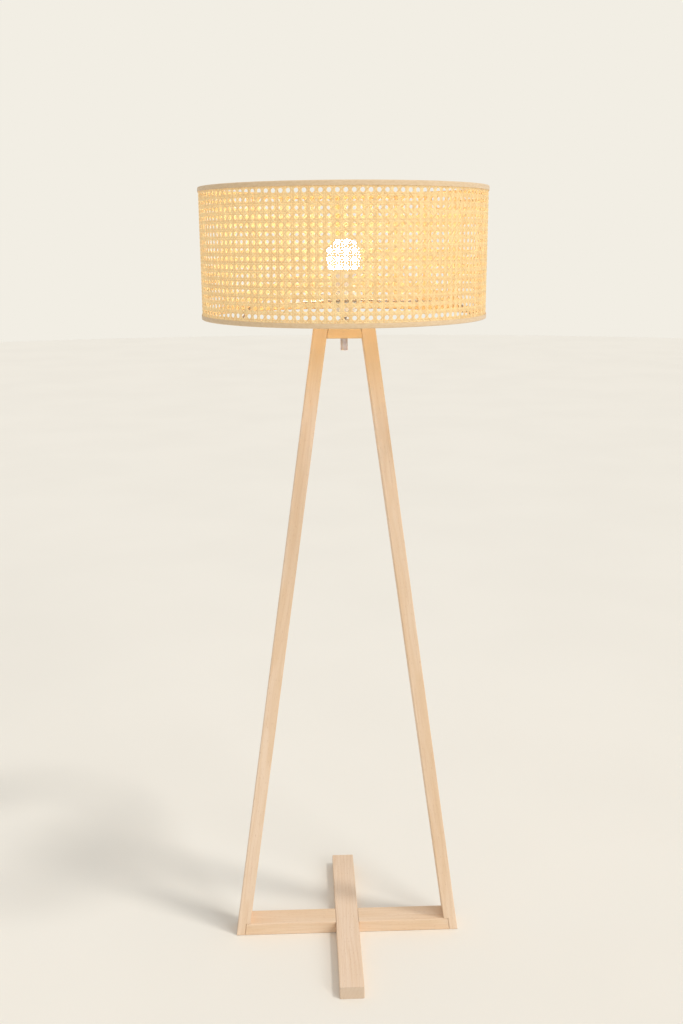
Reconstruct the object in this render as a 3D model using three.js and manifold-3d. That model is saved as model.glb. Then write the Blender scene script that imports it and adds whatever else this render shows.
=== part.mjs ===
// Rattan floor lamp: a drum shade of open cane webbing over a screw-in bulb, carried by two canted
// timber legs that are housed on a half-lapped cross base and joined by a short crossbar at the top.
// Millimetres, +Z up. The origin is on the floor in the middle of the cross. The left-right base bar
// runs along X, the front-back bar along Y, and the front is towards -Y.

import * as THREE from 'three';
import { mergeVertices } from 'three/addons/utils/BufferGeometryUtils.js';
import Module from 'manifold-3d';

// Timber: every member is cut from one section
const timberWidth = 46;
const timberThickness = 25;
const edgeEase = 1.5;
const standHeight = 1225;
const footSpan = 451;
const headSpan = 107;
const footTongue = 16.5;
const frontBackLength = 440;
const jointGap = 0.3;

// Dowels in the feet and at the head
const dowelDiameter = 8;
const dowelChamfer = 1;
const dowelSpacing = 23;
const dowelClearance = 0.3;
const dowelEndRoom = 0.5;
const footDowelInLeg = 9.5;
const footDowelInBar = 24;
const headDowelInLeg = 14;
const headDowelInBar = 16;

// Countersunk screw that holds the half lap together, driven from below
const lapScrewDiameter = 4;
const lapScrewHeadDiameter = 8;
const lapScrewHeadDepth = 2.6;
const lapScrewLength = 20;
const lapScrewPoint = 4;
const lapScrewRecess = 0.6;
const lapScrewSlotWidth = 1;
const lapScrewSlotDepth = 1;

// Hollow threaded tube through the crossbar, with its washer and hexagon nut
const tubeDiameter = 10;
const tubeBore = 7.6;
const tubeClearance = 0.3;
const seatGap = 0.3;
const washerDiameter = 26;
const washerThickness = 1.5;
const nutAcrossFlats = 17;
const nutHeight = 5;
const tubeReveal = 3.6;
const tubeInGrip = 10;
const tubeInCap = 8;

// Cord grip below the crossbar, with its clamping screw
const gripDiameter = 12.7;
const gripHeight = 22;
const gripBore = 7.2;
const gripChamfer = 0.8;
const gripScrewDiameter = 4;
const gripScrewHeight = 6;
const gripScrewStandOut = 0.8;

// Lamp holder: cap, body, insert and its metal parts
const capHeight = 22;
const capDiameter = 41;
const capBossDiameter = 17;
const capBossHeight = 7;
const capWall = 2;
const capShoulder = 6;
const lockScrewDiameter = 3;
const lockScrewHeight = 3.5;
const bodyHeight = 32;
const bodyThreadDiameter = 39.4;
const bodyFlangeDiameter = 45;
const bodyFlangeHeight = 6;
const bodyChamfer = 1;
const insertDiameter = 33.6;
const insertHeight = 30;
const insertFloor = 4.5;
const insertDrop = 3;
const shellWall = 0.6;
const shellHeight = 22;
const shellLift = 2.3;
const contactHeight = 2.2;
const contactLength = 14;
const contactWidth = 5;
const contactThickness = 0.8;
const contactRise = 5;
const terminalSpacing = 18;
const terminalShankDiameter = 2.8;
const terminalHeadDiameter = 5.2;
const terminalHeadHeight = 1.8;
const runningGap = 0.3;

// Ring nut that clamps the shade's hub on the holder's flange
const ringNutDiameter = 50;
const ringNutHeight = 8;
const ringNutRibDepth = 1.2;

// Wire frame of the shade
const hubRingDiameter = 54;
const hubRingThickness = 1.8;
const hubRecessDepth = 29;
const shadeDiameter = 500;
const shadeHeight = 221;
const hoopWireDiameter = 3.8;
const armDiameter = 3.2;
const armTailLength = 12;
const armDropLength = 26;
const armBendLength = 9;

// Skin and trims of the shade
const caneThickness = 2;
const caneStrandWidth = 15;
const tapeThickness = 0.8;
const tapeOuterHeight = 8;
const tapeInnerHeight = 9;
const seamTapeWidth = 14;
const seamTapeEndRoom = 2;
const layerGap = 0.3;

// Bulb
const bulbLength = 110;
const bulbDiameter = 60;
const bulbWall = 1.4;
const bulbCapDiameter = 26.5;
const bulbCapTop = 26;
const bulbCapHeight = 19.7;
const bulbCapWall = 0.6;
const bulbTipDiameter = 9;
const bulbTipHeight = 1.5;
const insulatorFoot = 14;
const neckDiameter = 28.4;
const neckTop = 57;
const neckTopDiameter = 49;
const neckLedge = 4;
const ledBoardThickness = 1.2;

// Counts, angles and shares
const overrun = 4;
const flatnessTolerance = 0.001;
const drumSides = 40;
const roundSides = 28;
const smallSides = 16;
const hoopWireSides = 6;
const easeSteps = 2;
const nutSides = 6;
const ringNutRibs = 24;
const caneRows = 5;
const domeSteps = 6;
const armBendSteps = 6;
const seamTapeSteps = 4;
const rightArmAzimuth = -20;
const backArmAzimuth = 100;
const leftArmAzimuth = 220;
const seamAzimuth = 90;
const neckFlareShares = [[0.35, 0.12], [0.7, 0.45]];
const capDomeShares = [[0.3, 0.4], [0.65, 0.75]];
const ringNutRibShares = [[0, 0], [0.25, 0], [0.5, 1], [0.75, 1]];
const caneEyeShares = [
  [1, 0.42], [0.42, 1], [-0.42, 1], [-1, 0.42], [-1, -0.42], [-0.42, -1], [0.42, -1], [1, -0.42],
];

// Leg lines: the outer face runs from the foot span at the floor to the head span at the top
const cant = Math.atan((footSpan - headSpan) / 2 / standHeight);
const acrossLeg = (thickness) => thickness / Math.cos(cant);
const legOuter = (z) => footSpan / 2 - Math.tan(cant) * z;
const legInner = (z) => legOuter(z) - acrossLeg(timberThickness);
const legTongue = (z) => legOuter(z) - acrossLeg(footTongue);

// Heights of the stack on the lamp's axis
const crossbarBottom = standHeight - timberThickness;
const washerBottom = standHeight + seatGap;
const nutBottom = washerBottom + washerThickness + seatGap;
const capBottom = nutBottom + nutHeight + tubeReveal;
const bodyBottom = capBottom + capHeight + seatGap;
const insertBottom = capBottom + capHeight - insertDrop;
const contactBottom = insertBottom + insertFloor + seatGap;
const bulbBottom = contactBottom + contactHeight + seatGap;
const hubBottom = bodyBottom + bodyFlangeHeight + seatGap;
const ringNutBottom = hubBottom + hubRingThickness + seatGap;
const shadeBottom = hubBottom - hubRecessDepth;
const gripTop = crossbarBottom - seatGap;

const wasm = await Module();
wasm.setup();

// A geometry with shared vertices and no triangle that has collapsed on the axis
function closed(geometry) {
  const bare = geometry.clone();
  bare.deleteAttribute('normal');
  bare.deleteAttribute('uv');
  const merged = mergeVertices(bare);
  const source = merged.index.array;
  const kept = [];
  for (let i = 0; i < source.length; i += 3) {
    const [a, b, c] = [source[i], source[i + 1], source[i + 2]];
    if (a !== b && b !== c && c !== a) kept.push(a, b, c);
  }
  merged.setIndex(kept);
  return merged;
}

function toManifold(geometry) {
  const merged = closed(geometry);
  return new wasm.Manifold(new wasm.Mesh({
    numProp: 3,
    vertProperties: new Float32Array(merged.attributes.position.array),
    triVerts: new Uint32Array(merged.index.array),
  }));
}

function fromManifold(solid) {
  const { numProp, vertProperties, triVerts } = solid.getMesh();
  const positions = new Float32Array((vertProperties.length / numProp) * 3);
  for (let i = 0; i < positions.length / 3; i += 1) {
    for (let axis = 0; axis < 3; axis += 1) positions[3 * i + axis] = vertProperties[numProp * i + axis];
  }
  const geometry = new THREE.BufferGeometry();
  geometry.setAttribute('position', new THREE.BufferAttribute(positions, 3));
  geometry.setIndex(Array.from(triVerts));
  return geometry;
}

// The last step takes out the spare edges that cuts leave across flat faces
function cut(geometry, tools) {
  const solid = tools.reduce((left, tool) => left.subtract(toManifold(tool)), toManifold(geometry));
  return fromManifold(solid.asOriginal().simplify(flatnessTolerance));
}

// Solid of revolution about Z from [radius, height] points, given anticlockwise with radius to the
// right; a profile that leaves the axis is closed back to its first point
function turned(profile, sides = roundSides) {
  const loop = profile[0][0] === 0 ? profile : [...profile, profile[0]];
  const points = loop.map(([radius, height]) => new THREE.Vector2(radius, height));
  return closed(new THREE.LatheGeometry(points, sides).rotateX(Math.PI / 2).rotateZ(Math.PI));
}

function tubeProfile(outer, inner, height) {
  return [[inner, 0], [outer, 0], [outer, height], [inner, height]];
}

function rod(radius, length, sides = smallSides) {
  return turned([[0, 0], [radius, 0], [radius, length], [0, length]], sides);
}

function shapeOf(points) {
  return new THREE.Shape(points.map(([x, y]) => new THREE.Vector2(x, y)));
}

// A timber member: its side view in [along, height] points, sawn to the timber's width, with the
// arrises of both faces eased
function timber(sideView) {
  const geometry = new THREE.ExtrudeGeometry(shapeOf(sideView), {
    depth: timberWidth - 2 * edgeEase,
    bevelThickness: edgeEase,
    bevelSize: edgeEase,
    bevelOffset: -edgeEase,
    bevelSegments: easeSteps,
  });
  return geometry.translate(0, 0, edgeEase - timberWidth / 2).rotateX(Math.PI / 2);
}

function hole(radius, from, to) {
  const start = new THREE.Vector3(...from);
  const run = new THREE.Vector3(...to).sub(start);
  const turn = new THREE.Quaternion().setFromUnitVectors(
    new THREE.Vector3(0, 0, 1), run.clone().normalize());
  return rod(radius, run.length()).applyQuaternion(turn).translate(start.x, start.y, start.z);
}

const finishes = {
  timber: { color: 0xe5c5a5, roughness: 0.6, metalness: 0 },
  dowel: { color: 0xd9b98f, roughness: 0.7, metalness: 0 },
  cane: { color: 0xe8bc7c, roughness: 0.6, metalness: 0 },
  tape: { color: 0xe6d3b3, roughness: 0.9, metalness: 0 },
  steel: { color: 0xb9b9b6, roughness: 0.35, metalness: 1 },
  brass: { color: 0xc9a55c, roughness: 0.3, metalness: 1 },
  bronzeEnamel: { color: 0xb29e82, roughness: 0.4, metalness: 0 },
  holderPlastic: { color: 0xf2efe8, roughness: 0.4, metalness: 0 },
  nylon: { color: 0xd9d2cc, roughness: 0.45, metalness: 0 },
  steatite: { color: 0xe9e4d8, roughness: 0.55, metalness: 0 },
  bulbPlastic: { color: 0xf4f3ef, roughness: 0.4, metalness: 0 },
  opal: { color: 0xfff6e0, roughness: 0.3, metalness: 0 },
  vitrite: { color: 0x1d1b22, roughness: 0.2, metalness: 0 },
  circuitBoard: { color: 0xf5f5f0, roughness: 0.5, metalness: 0 },
};

const materials = Object.fromEntries(
  Object.entries(finishes).map(([name, finish]) => [name, new THREE.MeshStandardMaterial(finish)]));

const lamp = new THREE.Group();
const stand = new THREE.Group();
const holder = new THREE.Group();
const shade = new THREE.Group();
const bulb = new THREE.Group();
shade.position.z = shadeBottom;
bulb.position.z = bulbBottom;
lamp.add(stand, holder, shade, bulb);

function piece(parent, name, geometry, finish, height = 0) {
  const mesh = new THREE.Mesh(closed(geometry), materials[finish]);
  mesh.name = name;
  mesh.position.z = height;
  parent.add(mesh);
  return mesh;
}

const sides = { left: -1, right: 1 };
const ends = { front: -1, back: 1 };
const dowelRadius = dowelDiameter / 2;
const dowelHoleRadius = dowelRadius + dowelClearance;
const footDowelHeight = timberThickness / 2;
const headDowelHeight = standHeight - timberThickness / 2;

// Where a dowel crosses its joint line, and how far it runs to either side of it
const dowelJoints = {
  foot: {
    height: footDowelHeight, line: legTongue(footDowelHeight), out: footDowelInLeg, in: footDowelInBar,
  },
  head: {
    height: headDowelHeight, line: legInner(headDowelHeight), out: headDowelInLeg, in: headDowelInBar,
  },
};

function dowelHoles(joint, side) {
  const { height, line, out, in: inward } = dowelJoints[joint];
  return Object.values(ends).map((end) => hole(
    dowelHoleRadius,
    [side * (line - inward - dowelEndRoom), end * dowelSpacing / 2, height],
    [side * (line + out + dowelEndRoom), end * dowelSpacing / 2, height]));
}

function addLegs() {
  const shoulder = timberThickness + jointGap;
  for (const [name, side] of Object.entries(sides)) {
    const outline = [
      [legTongue(0), 0],
      [legOuter(0), 0],
      [legOuter(standHeight), standHeight],
      [legInner(standHeight), standHeight],
      [legInner(shoulder), shoulder],
      [legTongue(shoulder), shoulder],
    ].map(([x, z]) => [side * x, z]);
    const bored = cut(timber(outline), [...dowelHoles('foot', side), ...dowelHoles('head', side)]);
    piece(stand, `${name}_leg`, bored, 'timber');
  }
}

function addCrossbar() {
  const end = (z) => legInner(z) - acrossLeg(jointGap);
  const outline = [
    [-end(crossbarBottom), crossbarBottom],
    [end(crossbarBottom), crossbarBottom],
    [end(standHeight), standHeight],
    [-end(standHeight), standHeight],
  ];
  const tubeHole = hole(
    tubeDiameter / 2 + tubeClearance, [0, 0, crossbarBottom - overrun], [0, 0, standHeight + overrun]);
  const holes = [tubeHole, ...dowelHoles('head', sides.left), ...dowelHoles('head', sides.right)];
  piece(stand, 'top_crossbar', cut(timber(outline), holes), 'timber');
}

// The cross is half lapped: the left-right bar keeps its lower half and the front-back bar its upper
// half, so both bars stand on the floor and finish flush on top
function addBase() {
  const lap = timberWidth / 2 + jointGap;
  const lowerTop = (timberThickness - jointGap) / 2;
  const upperBottom = (timberThickness + jointGap) / 2;
  const end = (z) => legTongue(z) - acrossLeg(jointGap);
  const leftRight = timber([
    [-end(0), 0], [end(0), 0], [end(timberThickness), timberThickness], [lap, timberThickness],
    [lap, lowerTop], [-lap, lowerTop], [-lap, timberThickness], [-end(timberThickness), timberThickness],
  ]);
  const half = frontBackLength / 2;
  const frontBack = timber([
    [-half, 0], [-lap, 0], [-lap, upperBottom], [lap, upperBottom],
    [lap, 0], [half, 0], [half, timberThickness], [-half, timberThickness],
  ]).rotateZ(Math.PI / 2);

  const screwHoleRadius = lapScrewDiameter / 2 + dowelClearance;
  const headHoleRadius = lapScrewHeadDiameter / 2 + dowelClearance;
  const screwHole = turned([
    [0, -overrun], [headHoleRadius, -overrun], [headHoleRadius, lapScrewRecess],
    [screwHoleRadius, lapScrewRecess + lapScrewHeadDepth],
    [screwHoleRadius, lapScrewRecess + lapScrewLength + dowelEndRoom],
    [0, lapScrewRecess + lapScrewLength + dowelEndRoom],
  ], smallSides);
  const dowelTools = [...dowelHoles('foot', sides.left), ...dowelHoles('foot', sides.right)];
  piece(stand, 'base_bar_left_right', cut(leftRight, [screwHole, ...dowelTools]), 'timber');
  piece(stand, 'base_bar_front_back', cut(frontBack, [screwHole]), 'timber');
}

function addDowels() {
  for (const [joint, { height, line, out, in: inward }] of Object.entries(dowelJoints)) {
    const length = out + inward;
    const geometry = turned([
      [0, 0], [dowelRadius - dowelChamfer, 0], [dowelRadius, dowelChamfer],
      [dowelRadius, length - dowelChamfer], [dowelRadius - dowelChamfer, length], [0, length],
    ], smallSides);
    for (const [sideName, side] of Object.entries(sides)) {
      for (const [endName, end] of Object.entries(ends)) {
        const dowel = piece(stand, `${joint}_dowel_${sideName}_${endName}`, geometry, 'dowel', height);
        dowel.rotation.y = side * Math.PI / 2;
        dowel.position.x = side * (line - inward);
        dowel.position.y = end * dowelSpacing / 2;
      }
    }
  }
}

function addLapScrew() {
  const radius = lapScrewDiameter / 2;
  const screw = turned([
    [0, 0], [lapScrewHeadDiameter / 2, 0], [radius, lapScrewHeadDepth],
    [radius, lapScrewLength - lapScrewPoint], [0, lapScrewLength],
  ], smallSides);
  const slot = new THREE.BoxGeometry(
    lapScrewHeadDiameter + overrun, lapScrewSlotWidth, 2 * lapScrewSlotDepth);
  piece(stand, 'lap_screw', cut(screw, [slot]), 'steel', lapScrewRecess);
}

function addTube() {
  const tubeBottom = gripTop - tubeInGrip;
  const tubeTop = capBottom + tubeInCap;
  const boreRadius = tubeDiameter / 2 + tubeClearance;
  piece(holder, 'threaded_tube',
    turned(tubeProfile(tubeDiameter / 2, tubeBore / 2, tubeTop - tubeBottom)), 'steel', tubeBottom);
  piece(holder, 'tube_washer',
    turned(tubeProfile(washerDiameter / 2, boreRadius, washerThickness)), 'steel', washerBottom);

  const corner = nutAcrossFlats / 2 / Math.cos(Math.PI / nutSides);
  const blank = rod(corner, nutHeight, nutSides);
  const bore = hole(boreRadius, [0, 0, -overrun], [0, 0, nutHeight + overrun]);
  piece(holder, 'tube_nut', cut(blank, [bore]), 'steel', nutBottom);
}

function addCordGrip() {
  const outer = gripDiameter / 2;
  const socket = tubeDiameter / 2 + tubeClearance;
  const socketFloor = gripHeight - tubeInGrip - seatGap;
  const barrel = turned([
    [gripBore / 2, 0], [outer - gripChamfer, 0], [outer, gripChamfer], [outer, gripHeight],
    [socket, gripHeight], [socket, socketFloor], [gripBore / 2, socketFloor],
  ]);
  const screwRadius = gripScrewDiameter / 2;
  const screwHole = hole(
    screwRadius + runningGap, [0, 0, gripScrewHeight], [0, outer + overrun, gripScrewHeight]);
  const gripBottom = gripTop - gripHeight;
  piece(holder, 'cord_grip_body', cut(barrel, [screwHole]), 'nylon', gripBottom);

  const inner = gripBore / 2 + runningGap;
  const screw = piece(holder, 'cord_grip_screw',
    rod(screwRadius, outer + gripScrewStandOut - inner), 'nylon', gripBottom + gripScrewHeight);
  screw.rotation.x = -Math.PI / 2;
  screw.position.y = inner;
}

function addHolderCap() {
  const bore = tubeDiameter / 2 + tubeClearance;
  const outer = capDiameter / 2;
  const cavity = insertDiameter / 2 + runningGap;
  const boss = capBossDiameter / 2;
  const domeTop = capHeight - capShoulder;
  const dome = capDomeShares.map(([out, up]) => [
    boss + out * (outer - boss), capBossHeight + up * (domeTop - capBossHeight)]);
  const roof = capDomeShares.map(([out, up]) => [
    boss + out * (cavity - boss), capBossHeight + capWall + up * (domeTop - capBossHeight)]).reverse();
  const shell = turned([
    [bore, 0], [boss, 0], [boss, capBossHeight], ...dome, [outer, domeTop], [outer, capHeight],
    [cavity, capHeight], [cavity, domeTop + capWall], ...roof, [bore, capBossHeight + capWall],
  ]);
  const screwRadius = lockScrewDiameter / 2;
  const screwHole = hole(
    screwRadius + runningGap, [0, 0, lockScrewHeight], [0, boss + overrun, lockScrewHeight]);
  piece(holder, 'holder_cap', cut(shell, [screwHole]), 'holderPlastic', capBottom);

  const screw = piece(holder, 'holder_lock_screw',
    rod(screwRadius, boss - bore), 'steel', capBottom + lockScrewHeight);
  screw.rotation.x = -Math.PI / 2;
  screw.position.y = bore;
}

function addHolderBody() {
  const bore = insertDiameter / 2 + runningGap;
  const thread = bodyThreadDiameter / 2;
  const flange = bodyFlangeDiameter / 2;
  piece(holder, 'holder_body', turned([
    [bore, 0], [flange - bodyChamfer, 0], [flange, bodyChamfer], [flange, bodyFlangeHeight],
    [thread, bodyFlangeHeight], [thread, bodyHeight - bodyChamfer], [thread - bodyChamfer, bodyHeight],
    [bore, bodyHeight],
  ]), 'holderPlastic', bodyBottom);
}

const shellBore = bulbCapDiameter / 2 + runningGap;
const terminalHoleRadius = terminalShankDiameter / 2 + runningGap;

// The insert is a cup of steatite: the screw shell lines it, the centre contact lies on its floor and
// the terminal screws come up through the floor from the cap
function addHolderInsert() {
  const bore = shellBore + shellWall + runningGap;
  const cup = turned([
    [0, 0], [insertDiameter / 2, 0], [insertDiameter / 2, insertHeight], [bore, insertHeight],
    [bore, insertFloor], [0, insertFloor],
  ]);
  const holes = Object.values(ends).map((end) => hole(
    terminalHoleRadius,
    [0, end * terminalSpacing / 2, -overrun],
    [0, end * terminalSpacing / 2, insertFloor + overrun]));
  piece(holder, 'holder_insert', cut(cup, holes), 'steatite', insertBottom);
  piece(holder, 'screw_shell',
    turned(tubeProfile(shellBore + shellWall, shellBore, shellHeight)), 'brass',
    insertBottom + insertFloor + shellLift);

  const shank = terminalShankDiameter / 2;
  const head = terminalHeadDiameter / 2;
  const terminal = turned([
    [0, 0], [head, 0], [head, terminalHeadHeight], [shank, terminalHeadHeight],
    [shank, terminalHeadHeight + insertFloor], [0, terminalHeadHeight + insertFloor],
  ], smallSides);
  const names = { front: 'terminal_screw_live', back: 'terminal_screw_neutral' };
  for (const [endName, end] of Object.entries(ends)) {
    const screw = piece(
      holder, names[endName], terminal, 'brass', insertBottom - seatGap - terminalHeadHeight);
    screw.position.y = end * terminalSpacing / 2;
  }
}

// Sprung tongue: a flat strip whose middle is raised to the bulb's tip
function addCentreContact() {
  const half = contactLength / 2;
  const rise = contactRise / 2;
  const top = contactHeight - contactThickness;
  const strip = new THREE.ExtrudeGeometry(shapeOf([
    [-half, 0], [-rise, 0], [-rise / 2, top], [rise / 2, top], [rise, 0], [half, 0],
    [half, contactThickness], [rise + contactThickness / 2, contactThickness], [rise / 2, contactHeight],
    [-rise / 2, contactHeight], [-rise - contactThickness / 2, contactThickness], [-half, contactThickness],
  ]), { depth: contactWidth, bevelEnabled: false });
  strip.translate(0, 0, -contactWidth / 2).rotateX(Math.PI / 2);
  piece(holder, 'centre_contact', strip, 'brass', contactBottom);
}

// Ribbed ring nut: round the outline, each rib has two corners on its top and two in its groove
function addRingNut() {
  const outline = [];
  for (let rib = 0; rib < ringNutRibs; rib += 1) {
    for (const [turn, depth] of ringNutRibShares) {
      const angle = ((rib + turn) / ringNutRibs) * 2 * Math.PI;
      const radius = ringNutDiameter / 2 - depth * ringNutRibDepth;
      outline.push([radius * Math.cos(angle), radius * Math.sin(angle)]);
    }
  }
  const blank = new THREE.ExtrudeGeometry(shapeOf(outline), { depth: ringNutHeight, bevelEnabled: false });
  const bore = turned([
    [0, -overrun], [bodyThreadDiameter / 2 + runningGap, -overrun],
    [bodyThreadDiameter / 2 + runningGap, ringNutHeight + overrun], [0, ringNutHeight + overrun],
  ]);
  piece(lamp, 'ring_nut', cut(blank, [bore]), 'holderPlastic', ringNutBottom);
}

// Radii of the layers at the shade's rims, from the outside in: tape, cane, hoop wire, tape
const drumRadius = shadeDiameter / 2;
const caneOuter = drumRadius - tapeThickness - layerGap;
const caneInner = caneOuter - caneThickness;
const hoopRadius = caneInner - layerGap - hoopWireDiameter / 2;
const tapeInner = hoopRadius - hoopWireDiameter / 2 - layerGap - tapeThickness;
const hoopHeight = tapeThickness + layerGap + hoopWireDiameter / 2;

// The drum's pieces have flat facets, so a round radius is nearer the axis at the middle of a facet
const atFacet = (radius) => radius * Math.cos(Math.PI / drumSides);

function addHub() {
  const bore = bodyThreadDiameter / 2 + runningGap;
  const hubHeight = hubBottom - shadeBottom;
  piece(shade, 'spider_hub_ring',
    turned(tubeProfile(hubRingDiameter / 2, bore, hubRingThickness)), 'bronzeEnamel', hubHeight);
}

const armTurns = { right: rightArmAzimuth, back: backArmAzimuth, left: leftArmAzimuth };

// Each arm leaves the hub level, slopes down near the rim and ends level against the bottom hoop
function armPath() {
  const hubLevel = hubBottom - shadeBottom + hubRingThickness / 2;
  const start = new THREE.Vector3(hubRingDiameter / 2 + layerGap, 0, hubLevel);
  const end = new THREE.Vector3(atFacet(hoopRadius) - hoopWireDiameter / 2 - layerGap, 0, hoopHeight);
  const upper = new THREE.Vector3(end.x - armTailLength - armDropLength, 0, hubLevel);
  const lower = new THREE.Vector3(end.x - armTailLength, 0, hoopHeight);
  const slope = lower.clone().sub(upper).normalize().multiplyScalar(armBendLength);
  const level = new THREE.Vector3(armBendLength, 0, 0);
  const path = new THREE.CurvePath();
  path.add(new THREE.LineCurve3(start, upper.clone().sub(level)));
  path.add(new THREE.QuadraticBezierCurve3(upper.clone().sub(level), upper, upper.clone().add(slope)));
  path.add(new THREE.LineCurve3(upper.clone().add(slope), lower.clone().sub(slope)));
  path.add(new THREE.QuadraticBezierCurve3(lower.clone().sub(slope), lower, lower.clone().add(level)));
  path.add(new THREE.LineCurve3(lower.clone().add(level), end));
  return path;
}

// Wire swept along the pieces of a path, with each piece stepped by itself so that bends stay round
function sweptWire(path, radius) {
  const stations = [];
  path.curves.forEach((curve, index) => {
    const steps = curve.isLineCurve3 ? 1 : armBendSteps;
    for (let i = index === 0 ? 0 : 1; i <= steps; i += 1) {
      stations.push({ at: curve.getPoint(i / steps), along: curve.getTangent(i / steps) });
    }
  });
  const across = new THREE.Vector3(0, 1, 0);
  const positions = [];
  for (const { at, along } of stations) {
    const up = new THREE.Vector3().crossVectors(along, across);
    for (let i = 0; i < hoopWireSides; i += 1) {
      const angle = (i / hoopWireSides) * 2 * Math.PI;
      const point = at.clone()
        .addScaledVector(across, radius * Math.cos(angle))
        .addScaledVector(up, radius * Math.sin(angle));
      positions.push(point.x, point.y, point.z);
    }
  }
  const index = [];
  const ring = (station, i) => station * hoopWireSides + (i % hoopWireSides);
  for (let s = 0; s < stations.length - 1; s += 1) {
    for (let i = 0; i < hoopWireSides; i += 1) {
      index.push(ring(s, i), ring(s + 1, i + 1), ring(s + 1, i));
      index.push(ring(s, i), ring(s, i + 1), ring(s + 1, i + 1));
    }
  }
  for (let i = 1; i < hoopWireSides - 1; i += 1) {
    index.push(ring(0, 0), ring(0, i + 1), ring(0, i));
    const last = stations.length - 1;
    index.push(ring(last, 0), ring(last, i), ring(last, i + 1));
  }
  const geometry = new THREE.BufferGeometry();
  geometry.setAttribute('position', new THREE.Float32BufferAttribute(positions, 3));
  geometry.setIndex(index);
  return geometry;
}

function addArms() {
  const geometry = sweptWire(armPath(), armDiameter / 2);
  for (const [name, azimuth] of Object.entries(armTurns)) {
    const arm = piece(shade, `spider_arm_${name}`, geometry, 'bronzeEnamel');
    arm.rotation.z = THREE.MathUtils.degToRad(azimuth);
  }
}

function addHoops() {
  const geometry = new THREE.TorusGeometry(hoopRadius, hoopWireDiameter / 2, hoopWireSides, drumSides);
  piece(shade, 'bottom_hoop_wire', geometry, 'bronzeEnamel', hoopHeight);
  piece(shade, 'top_hoop_wire', geometry, 'bronzeEnamel', shadeHeight - hoopHeight);
}

// The webbing is an open lattice: each facet of the drum has a column of eight-sided eyes between
// upright and level strands, with the crossing strands filling the corners
function addCane() {
  const edge = tapeThickness + layerGap;
  const drum = turned(tubeProfile(caneOuter, caneInner, shadeHeight - 2 * edge), drumSides);
  const column = 2 * caneInner * Math.sin(Math.PI / drumSides);
  const row = (shadeHeight - 2 * tapeOuterHeight) / caneRows;
  const outline = caneEyeShares.map(([across, up]) => [
    across * (column - caneStrandWidth) / 2, up * (row - caneStrandWidth) / 2]);
  const eye = new THREE.ExtrudeGeometry(shapeOf(outline), {
    depth: caneThickness + 2 * overrun, bevelEnabled: false,
  }).rotateX(Math.PI / 2).rotateZ(-Math.PI / 2).translate(caneOuter + overrun, 0, 0);
  const eyes = [];
  for (let i = 0; i < drumSides; i += 1) {
    const azimuth = ((2 * i + 1) / drumSides) * Math.PI;
    for (let j = 0; j < caneRows; j += 1) {
      const height = tapeOuterHeight - edge + (2 * j + 1) / 2 * row;
      eyes.push(eye.clone().translate(0, 0, height).rotateZ(azimuth));
    }
  }
  piece(shade, 'cane_skin', cut(drum, eyes), 'cane', edge);
}

// Tape folded over a rim: the outer lap shows, the inner lap covers the hoop wire. The bottom tape
// is slit where the spider's arms reach the hoop
function addTapes() {
  const fold = [
    [tapeInner, 0], [drumRadius, 0], [drumRadius, tapeOuterHeight],
    [drumRadius - tapeThickness, tapeOuterHeight], [drumRadius - tapeThickness, tapeThickness],
    [tapeInner + tapeThickness, tapeThickness], [tapeInner + tapeThickness, tapeInnerHeight],
    [tapeInner, tapeInnerHeight],
  ];
  const slitWidth = armDiameter + 2 * layerGap;
  const slitBottom = hoopHeight - armDiameter / 2 - layerGap;
  const slitHeight = tapeInnerHeight + overrun - slitBottom;
  const slitDepth = overrun + tapeThickness + layerGap;
  const slits = Object.values(armTurns).map((azimuth) => {
    const slit = new THREE.BoxGeometry(slitDepth, slitWidth, slitHeight);
    slit.translate(tapeInner - overrun + slitDepth / 2, 0, slitBottom + slitHeight / 2);
    return slit.rotateZ(THREE.MathUtils.degToRad(azimuth));
  });
  piece(shade, 'bottom_trim', cut(turned(fold, drumSides), slits), 'tape');
  const topFold = fold.map(([radius, height]) => [radius, -height]).reverse();
  piece(shade, 'top_trim', turned(topFold, drumSides), 'tape', shadeHeight);
}

// Tape on the inside of the skin over the seam of the webbing, at the back
function addSeamTape() {
  const outer = caneInner - layerGap;
  const inner = outer - tapeThickness;
  const spread = seamTapeWidth / outer;
  const from = THREE.MathUtils.degToRad(seamAzimuth) - spread / 2;
  const band = new THREE.Shape();
  band.absarc(0, 0, atFacet(outer), from, from + spread, false);
  band.absarc(0, 0, atFacet(inner), from + spread, from, true);
  const bottom = hoopHeight + hoopWireDiameter / 2 + seamTapeEndRoom;
  const tape = new THREE.ExtrudeGeometry(band, {
    depth: shadeHeight - 2 * bottom, bevelEnabled: false, curveSegments: seamTapeSteps,
  });
  piece(shade, 'seam_tape', tape, 'tape', bottom);
}

// Bulb heights are measured from its tip
function addBulbCap() {
  const tipTop = bulbTipHeight;
  const capBase = bulbCapTop - bulbCapHeight;
  const capRadius = bulbCapDiameter / 2;
  piece(bulb, 'bulb_tip_contact', turned([
    [0, 0], [bulbTipDiameter / 4, 0], [bulbTipDiameter / 2, tipTop / 2], [bulbTipDiameter / 2, tipTop],
    [0, tipTop],
  ]), 'brass');
  const insulatorTop = capBase - seatGap;
  piece(bulb, 'bulb_insulator', turned([
    [0, tipTop + seatGap], [insulatorFoot / 2, tipTop + seatGap],
    [capRadius - bulbCapWall, insulatorTop], [0, insulatorTop],
  ]), 'vitrite');
  piece(bulb, 'bulb_cap', turned([
    [capRadius - bulbCapWall, 0], [capRadius - bulbCapWall / 2, 0], [capRadius, bulbCapWall],
    [capRadius, bulbCapHeight], [capRadius - bulbCapWall, bulbCapHeight],
  ]), 'brass', capBase);
}

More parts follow.
